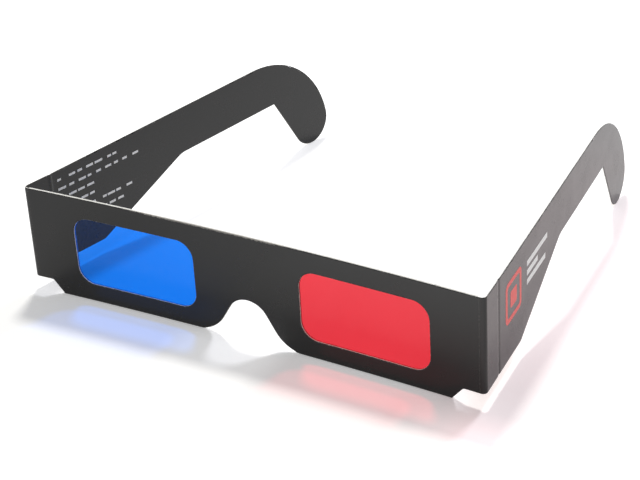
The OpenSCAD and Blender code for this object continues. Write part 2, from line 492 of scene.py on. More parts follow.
print("the fill starts", NEAR_EDGE, "mm inside the edge")

# %% Rings of an edge
CARD_EDGE = [
    (0.30, 0.0), (0.18, 0.02), (0.07, 0.07), (0.0, 0.15),
    (0.0, 0.34), (0.03, 0.375), (0.09, 0.392), (0.24, CARD),
]
CARD_SLOTS = [0, 0, 0, 1, 0, 0, 0]
PANEL_SLOTS = [0, 0, 0, 1, 1, 1, 1]
WANDER = 0.016


def ragged(count, seed, size):
    """A small wander along an edge, the same on every run."""
    steps = np.random.default_rng(seed).normal(size=count)
    return size * (steps + np.roll(steps, 1) + np.roll(steps, 2)) / 3


def edge_rings(loops, cuts, edge):
    """Flat points and depths of the rings round a sheet, and the number of each ring's first point."""
    flat, depth, starts = [], [], []
    count = 0
    for ring, (inset, level) in enumerate(edge):
        starts.append([])
        size = WANDER if 0 < ring < len(edge) - 1 else 0.0
        for number, (loop, cut) in enumerate(zip(loops, cuts)):
            wander = ragged(len(loop), 10 * number + ring, size)
            flat.append(move_in(loop, cut, inset))
            depth.append(np.clip(level + wander, 0.0, edge[-1][1]))
            starts[ring].append(count)
            count += len(loop)
    return flat, depth, starts


def edge_faces(loops, starts, slots):
    """Faces from each ring to the next, and the material slot of each face."""
    faces, face_slots = [], []
    for uppers, lowers, slot in zip(starts, starts[1:], slots):
        for upper, lower, loop in zip(uppers, lowers, loops):
            for i in range(len(loop)):
                j = (i + 1) % len(loop)
                faces.append((upper + i, lower + i, lower + j, upper + j))
                face_slots.append(slot)
    return faces, face_slots


def sharp_lines(cuts, starts):
    """Mesh edges that stay sharp: those where the sheet goes on into a fold, and the corners beside."""
    sharp = []
    for ring in (starts[0], starts[-1]):
        for first, cut in zip(ring, cuts):
            sharp.extend((first + i, first + (i + 1) % len(cut)) for i in np.flatnonzero(~cut))
    for uppers, lowers in zip(starts, starts[1:]):
        for upper, lower, cut in zip(uppers, lowers, cuts):
            corners = np.flatnonzero(cut != np.roll(cut, 1))
            sharp.extend((upper + i, lower + i) for i in corners)
    return sharp


print("a card edge has", len(CARD_EDGE), "rings")

# %% Cut sheets
def cut_sheet(name, loops, open_lines, place, inks=(CARD_INK, CORE), edge=CARD_EDGE, slots=CARD_SLOTS,
              behind=0, grid=4.0, inner=None, mirrored=False, score=None):
    """A closed sheet from its flat outline: place takes flat points and depths to millimetres in space."""
    cuts = [cut_edges(loop, open_lines) for loop in loops]
    inner = fill_points(loops, cuts, grid) if inner is None else inner
    flat, depth, starts = edge_rings(loops, cuts, edge)
    faces, face_slots = edge_faces(loops, starts, slots)
    rings = flat[:len(loops)]
    ring_points = sum(len(ring) for ring in rings)
    triangles = fill_faces(rings, inner)
    count = ring_points * len(edge)
    for side, level in ((0, 0.0), (1, edge[-1][1])):
        flat.append(inner)
        depth.append(np.full(len(inner), level))
        ring_start = starts[-1][0] if side else 0
        numbers = np.where(triangles < ring_points, triangles + ring_start, triangles - ring_points + count)
        faces.extend(map(tuple, numbers[:, ::-1] if side else numbers))
        face_slots.extend([behind if side else 0] * len(numbers))
        count += len(inner)
    flat = np.concatenate(flat)
    points = place(flat[:, 0], flat[:, 1], np.concatenate(depth)) * MM
    if mirrored:
        faces = [face[::-1] for face in faces]
    mesh = bpy.data.meshes.new(name)
    mesh.from_pydata(points.tolist(), [], faces)
    for ink in inks:
        mesh.materials.append(ink)
    mesh.polygons.foreach_set("material_index", face_slots)
    mesh.polygons.foreach_set("use_smooth", [len(edge) > 2] * len(faces))
    keys = {tuple(sorted(key)): number for number, key in enumerate(mesh.edge_keys)}
    marks = mesh.attributes.new("sharp_edge", "BOOLEAN", "EDGE")
    for pair in sharp_lines(cuts, starts):
        marks.data[keys[tuple(sorted(pair))]].value = True
    from_edge = edge_distance(flat, loops, cuts)
    from_score = np.full(len(flat), FAR_OFF) if score is None else score(flat[:, 0])
    for label, distance in (("edge_mm", from_edge), ("score_mm", from_score)):
        wear = mesh.attributes.new(label, "FLOAT", "POINT")
        wear.data.foreach_set("value", distance.astype(np.float32))
    mesh.update()
    print(f"{name}: {len(points)} points, {len(faces)} faces")
    return put_in_scene(name, mesh)


print("edges wander by about", WANDER, "mm")

# %% [markdown]
# ## Front and back panel
# The front is two panels of the one sheet, with the films between them. Pressed together they bow: the
# middle stands 1.8 mm behind the two ends. The bow is a large circle, so a flat point keeps its x and z
# and only its y is worked out from that circle. The front ends a little before its creases, which are
# pieces of their own.

# %% Bowed places
BOW_Y = FOLD_Y + BOW - BOW_R
FILM_TOP = WINDOW_Z + WINDOW[1] / 2 + FILM_MARGIN
FACE_R = BOW_R - CARD / 2
FOLD_R = STACK / 2
TOP_GAP = 0.02
CORNER_R = 1.1
FLANGE = 0.5
TURN = {side: math.pi / 2 + lean + END_SLOPE for side, lean in LEAN.items()}
REACH = {side: CORNER_R * math.tan(turn / 2) for side, turn in TURN.items()}
FRONT_END = {side: HALF_W - (reach + FLANGE) * math.cos(END_SLOPE) for side, reach in REACH.items()}


def front_at(x, z, depth):
    """Point of the bowed front, so deep behind its printed face."""
    return np.stack([x, BOW_Y + np.sqrt((FACE_R + depth) ** 2 - x**2), z + 0 * x], axis=1)


def back_at(x, z, depth):
    """Point of the back panel, so deep before its printed face. Above the films it closes on the front."""
    rise = np.clip((z - FILM_TOP) / (FRONT_H - FILM_TOP), 0, 1)
    closing = (FILM - TOP_GAP) * rise * rise * (3 - 2 * rise)
    return front_at(x, z, STACK - closing - depth)


print("front ends at", {side: round(end, 2) for side, end in FRONT_END.items()})

# %% Front outline
NOTCH_X = HALF_W - NOTCH_FLAT
NOTCH_R = 1.2
SIDE_TOP_Z = NOSE_H - NOSE_TOP_R * (1 - math.sin(math.radians(NOSE_LEAN)))
SIDE_LOW_Z = NOSE_FLARE_R * (1 - math.sin(math.radians(NOSE_LEAN)))
SIDE_RUN = (SIDE_TOP_Z - SIDE_LOW_Z) * math.tan(math.radians(NOSE_LEAN))
FLARE_X = (NOSE_TOP_R + NOSE_FLARE_R) * math.cos(math.radians(NOSE_LEAN)) + SIDE_RUN


def flare_edge(z):
    """Where the flare of the nose cut-out stands at height z."""
    return FLARE_X - np.sqrt(NOSE_FLARE_R**2 - (NOSE_FLARE_R - z) ** 2)


def slant_edge(z):
    """Where the slanted end of the bottom edge stands at height z."""
    return NOTCH_X - NOTCH_SLANT * (1 - z / NOTCH_H)


def front_outline(right_end, left_end):
    """Die line of the front above its bottom fold, from the right-hand bottom corner."""
    low = math.degrees(math.asin((FOLD_R - NOSE_FLARE_R) / NOSE_FLARE_R))
    flare = (FLARE_X, NOSE_FLARE_R)
    corners = [(-slant_edge(FOLD_R), FOLD_R)]
    corners += arc((-flare[0], flare[1]), NOSE_FLARE_R, low, -NOSE_LEAN)
    corners += arc((0, NOSE_H - NOSE_TOP_R), NOSE_TOP_R, 180 - NOSE_LEAN, NOSE_LEAN)
    corners += arc(flare, NOSE_FLARE_R, 180 + NOSE_LEAN, 180 - low)
    foot = np.array((slant_edge(FOLD_R), FOLD_R))
    notch = np.array(soft_corner(foot, (NOTCH_X, NOTCH_H), (left_end, NOTCH_H), NOTCH_R))
    corners += [tuple(foot), *notch, (left_end, NOTCH_H), (left_end, FRONT_H)]
    corners += [(-right_end, FRONT_H), (-right_end, NOTCH_H), *(notch * (-1, 1))[::-1]]
    return spread(corners, DIE_STEP)


def window_outline(side):
    """Clockwise die line of one window."""
    middle = np.array((SIDES[side] * WINDOW_PITCH / 2, WINDOW_Z))
    half = WINDOW / 2 - WINDOW_R
    corners = []
    for across, upward, start in ((-1, 1, 180), (1, 1, 90), (1, -1, 0), (-1, -1, -90)):
        centre = middle + half * (across, upward)
        corners += arc(centre, WINDOW_R, start, start - 90, 6.0)
    return spread(corners, DIE_STEP)


WINDOWS = [window_outline(side) for side in SIDES]
print("nose flare reaches", round(FLARE_X, 2), "mm from the middle")

# %% Front and back panel
front_loops = [front_outline(FRONT_END["right"], FRONT_END["left"]), *WINDOWS]
front_ends = [(1, FOLD_R), (0, -FRONT_END["right"]), (0, FRONT_END["left"])]
front_panel = cut_sheet(
    "front_panel_card", front_loops, front_ends, front_at, slots=PANEL_SLOTS, behind=1)
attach(front_panel, "front")
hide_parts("front_panel")

BACK_END = HALF_W - BACK_INSET
back_loops = [front_outline(BACK_END, BACK_END), *WINDOWS]
back_panel = cut_sheet(
    "back_panel_card", back_loops, [(1, FOLD_R)], back_at, slots=PANEL_SLOTS, behind=1, mirrored=True)
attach(back_panel, "front")
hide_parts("back_panel")

# %% [markdown]
# ## Bottom folds
# Under each window the sheet turns back up behind the front. The fold is a half round as thick as the
# whole stack, cut off along the nose flare and along the notch. It is drawn flat, as the strip of sheet
# that it is, and rolled up by its place function. Its points stand in even rows and columns, because
# triangles of mixed sizes would leave flats in the roll.

# %% Bottom folds
FOLD_MID_R = FOLD_R - CARD / 2
FOLD_L = math.pi * FOLD_MID_R
FOLD_EDGE = [(inset * 0.06, level) for inset, level in CARD_EDGE]
FOLD_ROWS = 17
FOLD_COLUMN = 0.3


def fold_at(x, along, depth):
    """Point of the rolled fold; along runs from 0 at the front down and back to minus its length."""
    turn = -along / FOLD_MID_R
    radius = FOLD_R - depth
    layer = FOLD_R - radius * np.cos(turn)
    return front_at(x, FOLD_R - radius * np.sin(turn), layer)


def fold_patch(side):
    """Outline and inner points of the fold of one side, in even columns so that it rolls cleanly."""
    turns = np.linspace(0, math.pi, FOLD_ROWS)
    heights = FOLD_R - FOLD_R * np.sin(turns)
    rows = -turns * FOLD_MID_R
    nose_end = [(flare_edge(z), row) for z, row in zip(heights, rows)]
    notch_end = [(slant_edge(z), row) for z, row in zip(heights, rows)]
    first = max(nose_end)[0] + FOLD_COLUMN
    last = min(notch_end)[0] - FOLD_COLUMN
    columns = np.linspace(first, last, math.ceil((last - first) / FOLD_COLUMN) + 1)
    outline = nose_end + [(x, rows[-1]) for x in columns]
    outline += notch_end[::-1] + [(x, 0.0) for x in columns[::-1]]
    inner = [(x, row) for x in columns for row in rows[1:-1]]
    for ends, column in ((nose_end, first), (notch_end, last)):
        for x, row in ends[1:-1]:
            inner += [(x + share * (column - x), row) for share in (0.2, 0.4, 0.6, 0.8)]
    if side == "left":
        return np.array(outline), np.array(inner)
    return np.array(outline[::-1]) * (-1, 1), np.array(inner) * (-1, 1)


for side in SIDES:
    outline, inner = fold_patch(side)
    fold = cut_sheet(
        side + "_bottom_fold_card", [outline], [(1, 0.0), (1, -FOLD_L)], fold_at,
        edge=FOLD_EDGE, inner=inner)
    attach(fold, "front")
    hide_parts(side + "_bottom_fold")

# %% [markdown]
# ## Upright panels
# From each front crease a short strip and then the temple run back in one plane that leans inwards. A
# flat point has its distance from the front crease and its height. The right side is the mirror of the
# left, so its faces are turned round when the sheet is made.

# %% Upright places
def upright_at(side):
    """Place function of the strip and temple of one side."""
    sign = SIDES[side]
    lean = LEAN[side]

    def place(along, z, depth):
        out = CARD / 2 - depth
        x = HALF_W - along * math.sin(lean) + out * math.cos(lean)
        y = FOLD_Y + along * math.cos(lean) + out * math.sin(lean)
        return np.stack([sign * x, y, z + 0 * x], axis=1)

    return place


CREASE_HALF = 0.9
STRIP_END = STRIP_W - CREASE_HALF - FLANGE
TEMPLE_START = STRIP_W + CREASE_HALF + FLANGE
print("strip ends at", round(STRIP_END, 2), "mm, temple starts at", round(TEMPLE_START, 2), "mm")

# %% Hinge strips
for side in SIDES:
    start = REACH[side] + FLANGE
    corners = [(start, NOTCH_H), (STRIP_END, NOTCH_H), (STRIP_END, FRONT_H), (start, FRONT_H)]
    strip = cut_sheet(
        side + "_hinge_strip_card", [spread(corners, DIE_STEP)], [(0, start), (0, STRIP_END)],
        upright_at(side), mirrored=side == "right")
    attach(strip, side + "_strip")
    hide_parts(side + "_hinge_strip")

# %% [markdown]
# ## Temples
# A temple starts as high as the front, tapers to a slim arm that rises a little, and ends in a hook: a
# wide outer curve, a round tip that stands on the table and a sharp inner corner for the ear.

# %% Temples
RISE = math.radians(ARM_RISE)
BROAD_R = 4.0
KNEE_R = 8.0


def arm_point(along, across):
    """A point given along the arm and across it, turned with the arm's rise."""
    return np.array((
        STRIP_W + along * math.cos(RISE) - across * math.sin(RISE),
        FRONT_H + along * math.sin(RISE) + across * math.cos(RISE),
    ))


HOOK_C = arm_point(ARM_L, -HOOK_R)
HOOK_CORNER = arm_point(ARM_L + HOOK_IN, -ARM_H)
TIP_A = math.degrees(math.asin((TIP_R - HOOK_C[1]) / (HOOK_R - TIP_R)))
TIP_WAY = np.array((math.cos(math.radians(TIP_A)), math.sin(math.radians(TIP_A))))
TIP_C = HOOK_C + (HOOK_R - TIP_R) * TIP_WAY
CORNER_TO_TIP = TIP_C - HOOK_CORNER
INNER_A = math.degrees(
    math.atan2(CORNER_TO_TIP[1], CORNER_TO_TIP[0]) - math.asin(TIP_R / np.hypot(*CORNER_TO_TIP)))


def temple_outline():
    """Die line of a temple behind its crease."""
    start = (TEMPLE_START, NOTCH_H)
    broad_end = (STRIP_W + BROAD_L, NOTCH_H)
    knee = arm_point(BROAD_L + TAPER_L, -ARM_H)
    corners = [start, *soft_corner(start, broad_end, knee, BROAD_R)]
    corners += [*soft_corner(broad_end, knee, HOOK_CORNER, KNEE_R), tuple(HOOK_CORNER)]
    corners += arc(TIP_C, TIP_R, INNER_A - 90, TIP_A)
    corners += arc(HOOK_C, HOOK_R, TIP_A, 90 + ARM_RISE)[1:]
    corners += [(TEMPLE_START, FRONT_H + (TEMPLE_START - STRIP_W) * math.tan(RISE))]
    return spread(corners, DIE_STEP)


for side in SIDES:
    temple = cut_sheet(
        side + "_temple_card", [temple_outline()], [(0, TEMPLE_START)], upright_at(side),
        grid=6.0, mirrored=side == "right")
    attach(temple, side + "_temple")
    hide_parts(side + "_temple")

# %% [markdown]
# ## Creases
# The CAD model has a round bead on each fold line. On the real card the sheet itself turns the corner,
# with a radius of about a millimetre, so each front crease is a rolled patch of sheet that takes the
# bead's place. The second crease lies straight in the photograph's pose: it shows as a pressed line.
# Both are built where they stand at rest, with a flat flange on each side in line with the panel beside it.

# %% Front creases
CREASE_MID = (NOTCH_H + FRONT_H) / 2
CORNER_COLUMN = 0.12
SCORE_OUT = 0.25


def corner_at(side):
    """Place function of the rolled corner; along starts where the front starts to turn."""
    sign = SIDES[side]
    turn = TURN[side]
    ahead = np.array((math.cos(END_SLOPE), -math.sin(END_SLOPE)))
    inward = np.array((math.sin(END_SLOPE), math.cos(END_SLOPE)))
    start = np.array((HALF_W, FOLD_Y)) - REACH[side] * ahead
    centre = start + CORNER_R * inward

    def place(along, z, depth):
        angle = np.clip(along / CORNER_R, 0, turn)
        spare = along - angle * CORNER_R
        radius = CORNER_R + CARD / 2 - depth
        way = ahead[None] * np.cos(angle)[:, None] + inward[None] * np.sin(angle)[:, None]
        out = ahead[None] * np.sin(angle)[:, None] - inward[None] * np.cos(angle)[:, None]
        flat = centre + out * radius[:, None] + way * spare[:, None]
        return np.stack([sign * flat[:, 0], flat[:, 1], z + 0 * along], axis=1)

    return place


def crease_patch(low, high, column, top):
    """Outline and inner points of a crease, in even columns so that it bends cleanly."""
    columns = np.linspace(low, high, math.ceil((high - low) / column) + 1)
    levels = [NOTCH_H + NEAR_EDGE, *np.arange(NOTCH_H + 2, FRONT_H - 1, 2), FRONT_H - NEAR_EDGE]
    outline = [(x, NOTCH_H) for x in columns] + [(high, z) for z in levels]
    outline += [(x, top(x)) for x in columns[::-1]] + [(low, z) for z in levels[::-1]]
    inner = np.array([(x, z) for x in columns[1:-1] for z in levels])
    return np.array(outline), inner


for side in SIDES:
    length = CORNER_R * TURN[side]
    place = corner_at(side)
    outline, inner = crease_patch(-FLANGE, length + FLANGE, CORNER_COLUMN, lambda x: FRONT_H)
    crease = cut_sheet(
        side + "_front_crease_card", [outline], [(0, -FLANGE), (0, length + FLANGE)], place,
        inner=inner, mirrored=side == "right",
        score=lambda along: np.minimum(abs(along + SCORE_OUT), abs(along - length - SCORE_OUT)))
    ends = place(np.array((0.0, length)), np.full(2, CREASE_MID), np.full(2, CARD / 2)) * MM
    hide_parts(side + "_front_crease")
    tuple(ends[0])
    tuple(ends[1])
    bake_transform(crease)

# %% Temple creases
GROOVE_WIDE = 0.55
GROOVE_DEEP = 0.14
GROOVE_COLUMN = 0.1


def groove(along):
    """How far the score pushes the sheet in at a distance from the front crease."""
    return GROOVE_DEEP * np.exp(-(((along - STRIP_W) / GROOVE_WIDE) ** 2))


def scored_at(side):
    """Place function of the second crease: the upright panel with its score pressed in."""
    flat = upright_at(side)
    return lambda along, z, depth: flat(along, z, depth + groove(along))


def temple_top(along):
    """Height of the sheet's top edge beside the second crease."""
    return FRONT_H + max(0.0, along - STRIP_W) * math.tan(RISE)


for side in SIDES:
    outline, inner = crease_patch(STRIP_END, TEMPLE_START, GROOVE_COLUMN, temple_top)
    crease = cut_sheet(
        side + "_temple_crease_card", [outline], [(0, STRIP_END), (0, TEMPLE_START)], scored_at(side),
        inner=inner, mirrored=side == "right",
        score=lambda along: abs(abs(along - STRIP_W) - GROOVE_WIDE))
    way = np.array((STRIP_W - CREASE_HALF, STRIP_W + CREASE_HALF))
    ends = upright_at(side)(way, np.full(2, CREASE_MID), np.full(2, CARD / 2)) * MM
    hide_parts(side + "_temple_crease")
    tuple(ends[0])
    tuple(ends[1])
    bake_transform(crease)

# %% [markdown]
# ## Films in the windows
# Each film is a rectangle 3 mm larger than its window all round, held between the panels. Where it is
# free, in the window, it bellies out by about two tenths of a millimetre, which softens its reflections.

# %% Films in the windows
FILM_EDGE = [(0.03, 0.0), (0.0, 0.03), (0.0, FILM - 0.03), (0.03, FILM)]
FILM_STEP = 2.0
BELLY = 0.22


def film_at(side):
    """Place function of a film: flat between the panels, slightly bellied in the window."""
    middle = SIDES[side] * WINDOW_PITCH / 2

    def place(x, z, depth):
        across = np.clip(1 - (2 * (x - middle) / WINDOW[0]) ** 2, 0, 1)
        upward = np.clip(1 - (2 * (z - WINDOW_Z) / WINDOW[1]) ** 2, 0, 1)
        return front_at(x, z, CARD + depth - BELLY * across * upward)

    return place


for side, film_ink in (("right", BLUE_FILM), ("left", RED_FILM)):
    half = WINDOW / 2 + FILM_MARGIN
    middle = np.array((SIDES[side] * WINDOW_PITCH / 2, WINDOW_Z))
    corners = [middle + half * way for way in ((-1, -1), (1, -1), (1, 1), (-1, 1))]
    film = cut_sheet(
        side + "_lens_film_sheet", [spread(corners, FILM_STEP)], [], film_at(side), [film_ink],
        edge=FILM_EDGE, slots=[0, 0, 0], grid=FILM_STEP)
    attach(film, "front")
    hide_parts(side + "_lens_film")

# %% [markdown]
# ## Print inks
# White and red ink sit on the black varnish as a layer two hundredths of a millimetre thick. Screen ink
# is a little mottled and slightly less shiny than the varnish around it.

# %% Print inks
INK = 0.02


def screen_ink(name, thin, full):
    """Opaque ink that covers a little unevenly."""
    material, tree, place = new_material(name)
    mottle = noise(tree, place, 1500.0, 4.0, 0.65)
    colour = blend_colours(tree, mottle, thin, full)
    rough = remap(tree, mottle, 0.3, 0.7, 0.42, 0.55)
    finish_surface(tree, colour, rough, 1.5, bumped(tree, mottle, 0.15, INK * MM))
    return material


WHITE_INK = screen_ink("white_ink", (0.76, 0.76, 0.75, 1), (0.93, 0.93, 0.92, 1))
RED_INK = screen_ink("red_ink", (0.78, 0.075, 0.065, 1), (0.93, 0.11, 0.10, 1))
print("made", WHITE_INK.name, "and", RED_INK.name)

# %% [markdown]
# ## Printed rows
# The inside of the right temple carries rows of plain white bars. They repeat with a rule, so a Geometry
# Nodes tree makes them: a grid of points, each row cut off at a random length, and on every point a bar
# of random length with a random gap before it. The tree also makes the stripes on the left temple.

# %% Tree helpers
def new_tree(name, inputs):
    """An empty Geometry Nodes tree with named inputs, its input and output nodes."""
    tree = bpy.data.node_groups.new(name, "GeometryNodeTree")
    tree.interface.new_socket("Geometry", in_out="INPUT", socket_type="NodeSocketGeometry")
    for label, kind, value in inputs:
        socket = tree.interface.new_socket(label, in_out="INPUT", socket_type="NodeSocket" + kind)
        if value is not None:
            socket.default_value = value
    tree.interface.new_socket("Geometry", in_out="OUTPUT", socket_type="NodeSocketGeometry")
    return tree, tree.nodes.new("NodeGroupInput").outputs, tree.nodes.new("NodeGroupOutput").inputs


def finish_tree(tree, geometry, ink, output):
    """Ends a tree: real geometry in place of instances, with its material."""
    real = add_node(tree, "GeometryNodeRealizeInstances", {"Geometry": geometry}).outputs[0]
    painted = add_node(tree, "GeometryNodeSetMaterial", {"Geometry": real, "Material": ink})
    tree.links.new(painted.outputs[0], output["Geometry"])
    print("tree", tree.name, "has", len(tree.nodes), "nodes")
    return tree


def vector(tree, x=0.0, y=0.0, z=0.0):
    """Three numbers as one vector."""
    return add_node(tree, "ShaderNodeCombineXYZ", {0: x, 1: y, 2: z}).outputs[0]


def random_number(tree, low, high, seed, **more):
    """A number for each point, the same on every run."""
    ends = {2: low, 3: high, "Seed": seed, **more}
    return add_node(tree, "FunctionNodeRandomValue", ends, data_type="FLOAT").outputs[1]


print("tree helpers ready")

# %% Tree for printed rows
def printed_rows_tree():
    """Rows of bars of random length, from a corner at the origin to the right and down."""
    tree, given, output = new_tree("printed_rows", [
        ("Rows", "Int", 5), ("Bars", "Int", 4), ("Row Pitch", "Float", 0.004),
        ("Bar Pitch", "Float", 0.008), ("Bar Height", "Float", 0.001), ("Ink", "Float", 0.00002),
        ("Shortest", "Float", 0.5), ("Longest", "Float", 0.9), ("Shortest Row", "Float", 0.3),
        ("Seed", "Int", 1), ("Material", "Material", None),
    ])
    pitch = given["Bar Pitch"]
    drop = given["Row Pitch"]
    seed = given["Seed"]
    width = calculate(tree, "MULTIPLY", calculate(tree, "SUBTRACT", given["Bars"], 1.0), pitch)
    height = calculate(tree, "MULTIPLY", calculate(tree, "SUBTRACT", given["Rows"], 1.0), drop)
    net = add_node(tree, "GeometryNodeMeshGrid", {
        "Size X": width, "Size Y": height, "Vertices X": given["Bars"], "Vertices Y": given["Rows"],
    }).outputs["Mesh"]
    half_width = calculate(tree, "MULTIPLY", width, 0.5)
    half_drop = calculate(tree, "MULTIPLY", height, -0.5)
    corner = add_node(tree, "GeometryNodeTransform", {
        "Geometry": net, "Translation": vector(tree, half_width, half_drop),
    }).outputs[0]
    position = add_node(tree, "GeometryNodeInputPosition").outputs[0]
    spot = add_node(tree, "ShaderNodeSeparateXYZ", {0: position}).outputs
    row = calculate(tree, "ROUND", calculate(tree, "DIVIDE", spot["Y"], drop), 0.0)
    row_share = random_number(tree, given["Shortest Row"], 1.0, seed, ID=row)
    row_end = calculate(tree, "MULTIPLY", calculate(tree, "ADD", width, 0.001), row_share)
    past_end = add_node(tree, "FunctionNodeCompare", {0: spot["X"], 1: row_end}, operation="GREATER_THAN")
    kept = add_node(tree, "GeometryNodeDeleteGeometry", {
        "Geometry": corner, "Selection": past_end.outputs[0],
    }, domain="POINT").outputs[0]
    share = random_number(tree, given["Shortest"], given["Longest"], seed)
    slack = calculate(tree, "MULTIPLY", calculate(tree, "SUBTRACT", 1.0, share), pitch)
    loose = random_number(tree, 0.0, slack, calculate(tree, "ADD", seed, 1.0))
    not_first = calculate(tree, "MINIMUM", calculate(tree, "DIVIDE", spot["X"], pitch), 1.0)
    nudge = vector(tree, calculate(tree, "MULTIPLY", loose, not_first))
    set_out = add_node(tree, "GeometryNodeSetPosition", {"Geometry": kept, "Offset": nudge}).outputs[0]
    size = vector(tree, pitch, given["Bar Height"], given["Ink"])
    block = add_node(tree, "GeometryNodeMeshCube", {"Size": size}).outputs["Mesh"]
    half = add_node(tree, "ShaderNodeVectorMath", {0: size, 1: (0.5, 0.0, 0.5)}, operation="MULTIPLY")
    bar = add_node(tree, "GeometryNodeTransform", {"Geometry": block, "Translation": half.outputs[0]})
    bars = add_node(tree, "GeometryNodeInstanceOnPoints", {
        "Points": set_out, "Instance": bar.outputs[0], "Scale": vector(tree, share, 1.0, 1.0),
    })
    return finish_tree(tree, bars.outputs[0], given["Material"], output)


PRINTED_ROWS = printed_rows_tree()

# %% Printed rows
def grown_mesh(tree, name, values, start=None):
    """Runs a tree once on a start mesh and returns the result as a plain mesh."""
    holder = put_in_scene(name, start or bpy.data.meshes.new(name))
    modifier = holder.modifiers.new(tree.name, "NODES")
    modifier.node_group = tree
    for item in tree.interface.items_tree:
        if item.item_type == "SOCKET" and item.in_out == "INPUT" and item.name in values:
            modifier[item.identifier] = values[item.name]
    graph = bpy.context.evaluated_depsgraph_get()
    mesh = bpy.data.meshes.new_from_object(holder.evaluated_get(graph), depsgraph=graph)
    holder.modifiers.remove(modifier)
    bpy.data.objects.remove(holder)
    return mesh


def lay_on_temple(mesh, side, along, z, inner_face):
    """Moves flat print, drawn in metres from its corner, onto one face of a temple."""
    flat = np.array([v.co for v in mesh.vertices]) / MM
    depth = CARD + flat[:, 2] if inner_face else -flat[:, 2]
    placed = upright_at(side)(along + flat[:, 0], z + flat[:, 1], depth) * MM
    mesh.vertices.foreach_set("co", placed.astype(np.float32).ravel())
    shell = bmesh.new()
    shell.from_mesh(mesh)
    bmesh.ops.recalc_face_normals(shell, faces=shell.faces)
    shell.to_mesh(mesh)
    shell.free()
    mesh.update()


def printed_piece(name, mesh, side):
    """Print as a piece that moves with its temple."""
    mesh.name = name
    piece = put_in_scene(name, mesh)
    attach(piece, side + "_temple")
    print(f"{name}: {len(mesh.polygons)} faces")


small_print = grown_mesh(PRINTED_ROWS, "small_print", {
    "Rows": 6, "Bars": 9, "Row Pitch": 2.9 * MM, "Bar Pitch": 3.4 * MM, "Bar Height": 0.7 * MM,
    "Ink": INK * MM, "Shortest": 0.35, "Longest": 0.85, "Shortest Row": 0.3, "Seed": 7,
    "Material": WHITE_INK,
})
lay_on_temple(small_print, "right", 11.8, 29.0, True)
printed_piece("right_temple_small_print", small_print, "right")

stripes = grown_mesh(PRINTED_ROWS, "stripes", {
    "Rows": 3, "Bars": 1, "Row Pitch": 2.7 * MM, "Bar Pitch": 18.0 * MM, "Bar Height": 1.6 * MM,
    "Ink": INK * MM, "Shortest": 0.4, "Longest": 1.0, "Shortest Row": 1.0, "Seed": 4,
    "Material": WHITE_INK,
})
lay_on_temple(stripes, "left", 31.0, 24.6, False)
printed_piece("left_temple_stripes", stripes, "left")

# %% [markdown]
# ## Red frame mark
# Beside the stripes is a plain red mark: a rounded square frame with a small solid square in it. Both are
# outlines, the frame one with a hole, so the sheet maker makes them too, as thick as a layer of ink.

# %% Red frame mark
INK_EDGE = [(0.0, 0.0), (0.0, INK)]


def rounded_square(middle, half, radius, clockwise):
    """Outline of a square with round corners."""
    corners = []
    for across, upward, start in ((1, -1, -90), (1, 1, 0), (-1, 1, 90), (-1, -1, 180)):
        centre = (middle[0] + across * (half - radius), middle[1] + upward * (half - radius))
        corners += arc(centre, radius, start, start + 90, 9.0)
    points = spread(corners, 1.0)
    return points[::-1] if clockwise else points


def on_left_temple(along, z, depth):
    """Ink on the outer face of the left temple."""
    return upright_at("left")(along, z, depth - INK)


MARK = (20.6, 21.0)
FRAME_LOOPS = [rounded_square(MARK, 6.0, 1.8, False), rounded_square(MARK, 4.6, 0.9, True)]
SQUARE_LOOPS = [rounded_square(MARK, 2.4, 0.7, False)]
for name, loops in (("left_temple_mark_frame", FRAME_LOOPS), ("left_temple_mark_square", SQUARE_LOOPS)):
    mark = cut_sheet(
        name, loops, [], on_left_temple, [RED_INK], edge=INK_EDGE, slots=[0], inner=np.zeros((0, 2)))
    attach(mark, "left_temple")

# %% [markdown]
# ## Paper fibres
# A blunt die tears the board rather than cutting it, and short fibres stand out of the long top edge of
# the front. They follow a path and differ at random, so a second tree scatters bent hairs along it.

